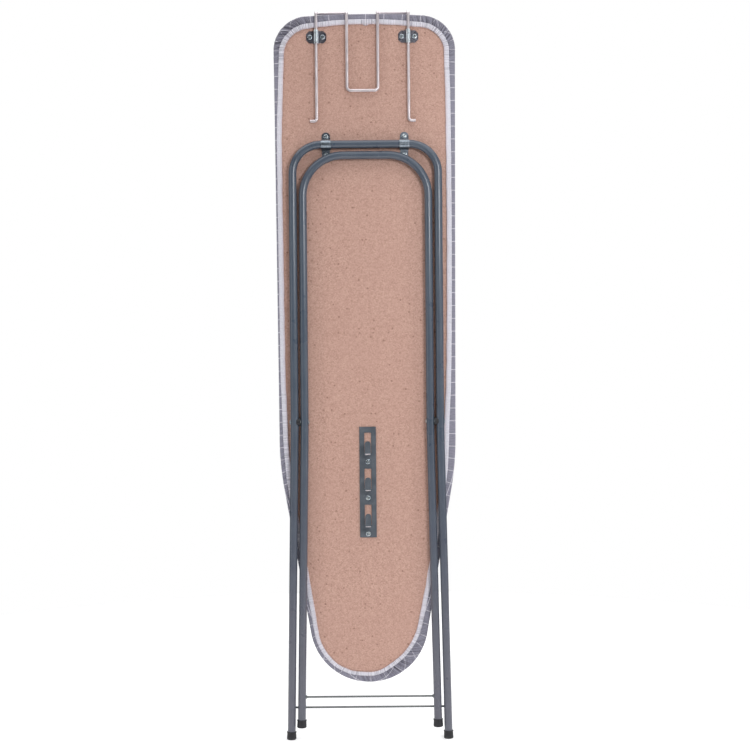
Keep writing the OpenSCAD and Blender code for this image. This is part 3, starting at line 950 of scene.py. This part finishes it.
def chipboard():
    """Fine pressed flakes in pinkish beige, a few darker ones, and resin gloss here and there."""
    g = Graph("chipboard", Roughness=0.62, Specular_IOR_Level=0.35)
    at = g.position()
    warp = g.scaled(g.noise(at, 380, 2, out="Color"), (0.0009, 0.0009, 0.0009))
    bent = g.added(at, warp)
    flat = g.scaled(bent, (1.0, 0.35, 1.0))
    flake = g.voronoi(flat, 520, out="Color")
    tone = g.split(flake)[0]
    small = g.split(g.voronoi(flat, 1150, out="Color"))[1]
    grain = g.noise(g.scaled(bent, (900, 900, 260)), 1.0, 4, 0.65)
    mixed = g.math("ADD", g.math("MULTIPLY", tone, 0.42), g.math("MULTIPLY", small, 0.28))
    mixed = g.math("ADD", mixed, g.math("MULTIPLY", grain, 0.32))
    colour = g.ramp(mixed, (
        (0.12, srgb(158, 121, 107)), (0.34, srgb(181, 144, 130)), (0.52, srgb(191, 153, 139)),
        (0.72, srgb(200, 163, 149)), (0.92, srgb(211, 177, 162)),
    ))
    broad = g.noise(at, 5.5, 3, 0.55)
    colour = g.blend(g.span(broad, 0.35, 0.7, 0.0, 0.35), colour, srgb(187, 148, 135))
    specks = g.voronoi(flat, 150)
    chance = g.span(g.split(g.voronoi(flat, 150, out="Color"))[2], 0.86, 0.9)
    dot = g.math("MULTIPLY", g.span(specks, 0.16, 0.3, 1.0, 0.0), chance)
    colour = g.blend(g.math("MULTIPLY", dot, 0.6), colour, srgb(122, 84, 70))
    knots = g.voronoi(flat, 13)
    rare = g.span(g.split(g.voronoi(flat, 13, out="Color"))[0], 0.7, 0.74)
    spot = g.math("MULTIPLY", g.span(knots, 0.018, 0.05, 1.0, 0.0), rare)
    colour = g.blend(g.math("MULTIPLY", spot, 0.75), colour, srgb(112, 76, 64))
    g.into("Base Color", colour)
    g.into("Roughness", g.span(grain, 0.3, 0.7, 0.5, 0.74))
    relief = g.math("ADD", g.math("MULTIPLY", tone, 0.5), g.math("MULTIPLY", grain, 0.6))
    g.into("Normal", g.bump(relief, 0.3, 0.12 * MM))
    return g.material


def leg_paint():
    """Blue-grey powder coat with fine orange peel and a few scuffs, with a painted reflection of the
    white floor low down.
    """
    g = Graph("leg_paint", Roughness=0.3, Coat_Weight=0.3, Coat_Roughness=0.2, Specular_IOR_Level=0.5)
    at = g.position()
    height = g.split(at)[2]
    # painted reflection of the white floor: the coat turns lighter and more neutral towards the floor,
    # up to half a metre
    floor_reflection = g.span(height, 0.1, 0.5)
    colour = g.blend(floor_reflection, srgb(88, 88, 100), srgb(73, 83, 97))
    patch = g.noise(at, 24, 3)
    colour = g.blend(g.span(patch, 0.4, 0.75, 0.0, 0.3), colour, srgb(96, 105, 116))
    dust = g.noise(at, 900, 2)
    colour = g.blend(g.span(dust, 0.62, 0.75, 0.0, 0.35), colour, srgb(126, 132, 140))
    scratches = g.noise(g.scaled(at, (500, 500, 30)), 1.0, 3, 0.7)
    scuff = g.math("MULTIPLY", g.span(scratches, 0.66, 0.72), g.span(patch, 0.5, 0.6))
    colour = g.blend(g.math("MULTIPLY", scuff, 0.45), colour, srgb(140, 146, 152))
    g.into("Base Color", colour)
    g.into("Roughness", g.span(patch, 0.3, 0.7, 0.25, 0.36))
    peel = g.noise(at, 420, 2)
    g.into("Normal", g.bump(peel, 0.25, 0.15 * MM))
    return g.material


def crossbar_paint():
    """The same coat on thin wire, duller and slightly darker at the welds."""
    g = Graph("crossbar_paint", Roughness=0.5, Specular_IOR_Level=0.45)
    at = g.position()
    far = g.math("ABSOLUTE", g.split(at)[0])
    end = g.span(far, 0.1, 0.112)
    grain = g.noise(at, 600, 3)
    colour = g.ramp(grain, ((0.3, srgb(92, 96, 98)), (0.7, srgb(116, 120, 120))))
    g.into("Base Color", g.blend(g.math("MULTIPLY", end, 0.6), colour, srgb(70, 76, 84)))
    g.into("Normal", g.bump(grain, 0.35, 0.2 * MM))
    return g.material


def black_plastic():
    """Moulded polythene with a fine spark-eroded grain and scuffs on its base."""
    g = Graph("black_plastic", Roughness=0.5, Specular_IOR_Level=0.45)
    at = g.position()
    grain = g.voronoi(at, 1500)
    cloud = g.noise(at, 160, 3)
    colour = g.ramp(cloud, ((0.3, srgb(24, 24, 28)), (0.7, srgb(38, 38, 43))))
    low = g.span(g.split(at)[2], 0.0, 0.004, 1.0, 0.0)
    scuff = g.math("MULTIPLY", low, g.span(g.noise(at, 700, 3), 0.45, 0.6))
    g.into("Base Color", g.blend(g.math("MULTIPLY", scuff, 0.5), colour, srgb(92, 90, 90)))
    g.into("Roughness", g.span(cloud, 0.3, 0.7, 0.42, 0.6))
    g.into("Normal", g.bump(grain, 0.3, 0.1 * MM))
    return g.material


FITTING_TAB_DEPTH = 1.6 * MM


def zinc_fitting(name, shaded_tab_tones, highlit_strap_tones):
    """Zinc with a painted highlight on the raised strap and painted shade, darker grey-blue, on the flat
    tabs on the board.
    """
    g = Graph(name, Metallic=1.0, Roughness=0.32)
    at = g.position()
    depth = g.split(at)[1]
    # the depth off the board splits the strap's painted highlight from the tabs' painted shade
    raised = g.span(depth, -FITTING_TAB_DEPTH - 0.6 * MM, -FITTING_TAB_DEPTH + 0.1 * MM, 1.0, 0.0)
    wander = g.scaled(g.noise(at, 420, 2, out="Color"), (0.0014, 0.0014, 0.0014))
    spangle = g.split(g.voronoi(g.added(at, wander), 460, out="Color"))[0]
    strap_highlight = g.ramp(spangle, ((0.2, highlit_strap_tones[0]), (0.8, highlit_strap_tones[1])))
    tab_shade = g.ramp(spangle, ((0.2, shaded_tab_tones[0]), (0.8, shaded_tab_tones[1])))
    g.into("Base Color", g.blend(raised, tab_shade, strap_highlight))
    g.into("Roughness", g.span(g.noise(at, 300, 3), 0.3, 0.7, 0.26, 0.42))
    lines = g.noise(g.scaled(at, (1500, 1500, 120)), 1.0, 2)
    g.into("Normal", g.bump(lines, 0.12, 0.05 * MM))
    return g.material


def screw_zinc():
    """Bright zinc with a pale blue passivation and rubbed cross recesses."""
    g = Graph("screw_zinc", Metallic=1.0, Roughness=0.28)
    at = g.position()
    cloud = g.noise(at, 500, 3)
    g.into("Base Color", g.ramp(cloud, (
        (0.3, srgb(168, 184, 196)), (0.55, srgb(204, 214, 220)), (0.75, srgb(222, 222, 214)),
    )))
    g.into("Roughness", g.span(cloud, 0.3, 0.7, 0.2, 0.38))
    g.into("Normal", g.bump(g.noise(at, 2400, 2), 0.15, 0.04 * MM))
    return g.material


def bright_wire():
    """Drawn, nickel-plated wire with faint draw lines along it."""
    g = Graph("bright_wire", Metallic=0.8, Roughness=0.38)
    at = g.position()
    draw = g.noise(g.scaled(at, (2600, 2600, 18)), 1.0, 2)
    cloud = g.noise(at, 60, 3)
    g.into("Base Color", g.ramp(cloud, ((0.3, srgb(206, 198, 202)), (0.7, srgb(228, 220, 223)))))
    g.into("Roughness", g.span(draw, 0.3, 0.7, 0.32, 0.46))
    g.into("Normal", g.bump(draw, 0.2, 0.04 * MM))
    return g.material


# Height of the lowest hook's root above the latch's lower end, and the hooks' pitch
FIRST_HOOK_UP = 18.4 * MM
HOOK_PITCH = 59.3 * MM
HOOKS = 3


def latch_paint():
    """Dark grey-blue coat, dry and slightly chipped, with a painted highlight at the hooks' roots."""
    g = Graph("latch_paint", Roughness=0.48, Specular_IOR_Level=0.45)
    at = g.position()
    grain = g.noise(at, 500, 3)
    patch = g.noise(at, 55, 3)
    colour = g.ramp(patch, ((0.3, srgb(70, 77, 85)), (0.7, srgb(92, 98, 106))))
    chips = g.math("MULTIPLY", g.span(g.noise(at, 800, 2), 0.68, 0.72), g.span(patch, 0.5, 0.62))
    colour = g.blend(g.math("MULTIPLY", chips, 0.6), colour, srgb(150, 156, 160))
    x, _, z = g.split(at)
    origin_z = nodes["latch_plate"].matrix_world.translation.z
    # painted highlight: a pale band along the bend at each hook's root, broken up by noise
    print_wear_and_hook_highlight = None
    for k in range(HOOKS):
        root = latch_lo.z - origin_z + FIRST_HOOK_UP + k * HOOK_PITCH
        distance = g.math("ABSOLUTE", g.math("SUBTRACT", z, root))
        band = g.span(distance, 0.9 * MM, 1.9 * MM, 1.0, 0.0)
        print_wear_and_hook_highlight = band if print_wear_and_hook_highlight is None else g.math("MAXIMUM", print_wear_and_hook_highlight, band)
    print_wear_and_hook_highlight = g.math("MULTIPLY", print_wear_and_hook_highlight, g.span(g.math("ABSOLUTE", x), 3.8 * MM, 4.6 * MM, 1.0, 0.0))
    print_wear_and_hook_highlight = g.math("MULTIPLY", print_wear_and_hook_highlight, g.span(g.noise(at, 900, 2), 0.34, 0.5, 0.25, 1.0))
    g.into("Base Color", g.blend(print_wear_and_hook_highlight, colour, srgb(214, 208, 212)))
    g.into("Roughness", g.span(grain, 0.3, 0.7, 0.4, 0.56))
    g.into("Normal", g.bump(grain, 0.3, 0.12 * MM))
    return g.material


def floor_white():
    """Matt white floor with a faint grain, lifted a little so that it meets the white behind it."""
    g = Graph("studio_floor", Roughness=0.85, Emission_Color=(1, 1, 1, 1), Emission_Strength=0.22)
    grain = g.noise(g.position(), 40, 4)
    g.into("Base Color", g.ramp(grain, ((0.3, (0.9, 0.9, 0.905, 1)), (0.7, (0.93, 0.93, 0.93, 1)))))
    return g.material


def dress(material, *names):
    """Gives CAD nodes their finish; the shapes stay as they are."""
    for name in names:
        mesh = nodes[name].data
        mesh.materials.clear()
        mesh.materials.append(material)


def both(name):
    return (name + "_left", name + "_right")


# ---- Assembly ----

def add_piece(piece, material, replaced=()):
    """Gives a new piece its finish and its slot, and lets it ride on the board."""
    piece.data.materials.clear()
    piece.data.materials.append(material)
    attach(piece, "board")
    if replaced:
        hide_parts(*replaced)
    return piece


pad = add_piece(make_pad(), felt(), ("foam_pad",))
elastic_material = elastic()
hem = add_piece(make_hem(), elastic_material, ("elastic_hem",))
hem_joint = add_piece(make_hem_joint(), elastic_material)
stitching = add_piece(make_stitches(), thread_white())
cover = add_piece(make_cover(), cotton(), ("cover",))

dress(chipboard(), "board_panel")
dress(leg_paint(), "outer_leg_frame", "inner_leg_frame")
dress(crossbar_paint(), "outer_crossbar", "inner_crossbar")
dress(black_plastic(), *both("outer_foot"), *both("inner_foot"), *both("pivot_spacer"))
dress(screw_zinc(), "saddle_screws", "clip_screws", "latch_screws", *both("pivot_rivet"))
# each fitting's first pair of tones is the painted shade of its flat tabs, the second the painted
# highlight of its raised strap
dress(zinc_fitting(
    "saddle_zinc",
    (srgb(98, 106, 116), srgb(128, 136, 146)),
    (srgb(124, 134, 143), srgb(152, 162, 171)),
), *both("leg_saddle"))
dress(zinc_fitting(
    "clip_zinc",
    (srgb(112, 112, 122), srgb(144, 143, 153)),
    (srgb(214, 228, 236), srgb(238, 247, 252)),
), *both("rest_clip"))
dress(bright_wire(), "iron_rest")
dress(latch_paint(), "latch_plate")

# ---- Studio ----

MIDDLE_Z = (cad_lo.z + cad_hi.z) / 2
FLOOR_R = 1.5
FLOOR_RINGS = 14
FLOOR_SIDES = 96


def make_floor():
    """A round floor of concentric rings."""
    points = []
    for r in range(FLOOR_RINGS):
        reach = FLOOR_R * ((r + 1) / FLOOR_RINGS) ** 1.3
        for k in range(FLOOR_SIDES):
            angle = 2 * math.pi * k / FLOOR_SIDES
            points.append((reach * math.cos(angle), reach * math.sin(angle), 0.0))
    faces = [face[::-1] for face in ring_faces(FLOOR_RINGS, FLOOR_SIDES)]
    faces.append(tuple(range(FLOOR_SIDES)))
    floor = new_mesh_object("studio_floor", points, faces, smooth_shade=False)
    floor.data.materials.append(floor_white())


def area_light(name, place, target, width, height, watts):
    data = bpy.data.lights.new(name, "AREA")
    data.shape = "RECTANGLE"
    data.size = width
    data.size_y = height
    data.energy = watts
    light = bpy.data.objects.new(name, data)
    bpy.context.scene.collection.objects.link(light)
    light.location = place
    aim = Vector(target) - Vector(place)
    light.rotation_euler = aim.to_track_quat("-Z", "Y").to_euler()
    light.visible_camera = False


BOARD_MIDDLE = (0, 0, MIDDLE_Z)
# Name, place, target, width, height and watts of each area light
LIGHTS = (
    ("left_bank", (-2.3, -1.1, 1.0), BOARD_MIDDLE, 0.4, 2.0, 10),
    ("right_bank", (2.3, -1.1, 1.0), BOARD_MIDDLE, 0.4, 2.0, 9),
    ("key", (0.5, -1.1, 1.05), BOARD_MIDDLE, 0.3, 0.3, 6.3),
    ("overhead_bank", (0, 0, 3.6), (0, 0, 0), 6.0, 6.0, 215),
    ("face_bank", (0.8, 2.4, 1.6), BOARD_MIDDLE, 1.6, 1.6, 16),
)
FILL_STRENGTH = 0.08
SEEN_STRENGTH = 1.0
WHITE = (1.0, 1.0, 1.0, 1.0)


def make_world():
    """White where the camera looks past the object, and a soft even fill everywhere else."""
    world = bpy.data.worlds.new("studio")
    bpy.context.scene.world = world
    world.use_nodes = True
    tree = world.node_tree
    fill = tree.nodes["Background"]
    fill.inputs["Color"].default_value = WHITE
    fill.inputs["Strength"].default_value = FILL_STRENGTH
    seen = tree.nodes.new("ShaderNodeBackground")
    seen.inputs["Color"].default_value = WHITE
    seen.inputs["Strength"].default_value = SEEN_STRENGTH
    path = tree.nodes.new("ShaderNodeLightPath")
    either = tree.nodes.new("ShaderNodeMixShader")
    tree.links.new(path.outputs["Is Camera Ray"], either.inputs["Fac"])
    tree.links.new(fill.outputs[0], either.inputs[1])
    tree.links.new(seen.outputs[0], either.inputs[2])
    tree.links.new(either.outputs[0], tree.nodes["World Output"].inputs["Surface"])


# Height of the picture at the object, in metres, and the camera's distance from it
FRAME_H = 1.2353
DISTANCE = 2.25
SENSOR = 36.0
CAMERA_X = 0.013
CAMERA_BELOW_MIDDLE = 2 * MM
ROLL = math.radians(0.5)


def make_camera():
    """Level camera in front of the legs, at half the object's height, rolled by half a degree."""
    data = bpy.data.cameras.new("camera")
    data.sensor_width = SENSOR
    data.lens = SENSOR * DISTANCE / FRAME_H
    camera = bpy.data.objects.new("camera", data)
    bpy.context.scene.collection.objects.link(camera)
    camera.location = (CAMERA_X, -DISTANCE, MIDDLE_Z - CAMERA_BELOW_MIDDLE)
    camera.rotation_mode = "XYZ"
    look = Matrix.Rotation(math.pi / 2, 4, "X") @ Matrix.Rotation(-ROLL, 4, "Z")
    camera.rotation_euler = look.to_euler()
    bpy.context.scene.camera = camera


make_floor()
for light in LIGHTS:
    area_light(*light)
make_world()
make_camera()
bpy.context.scene.view_settings.view_transform = "Standard"
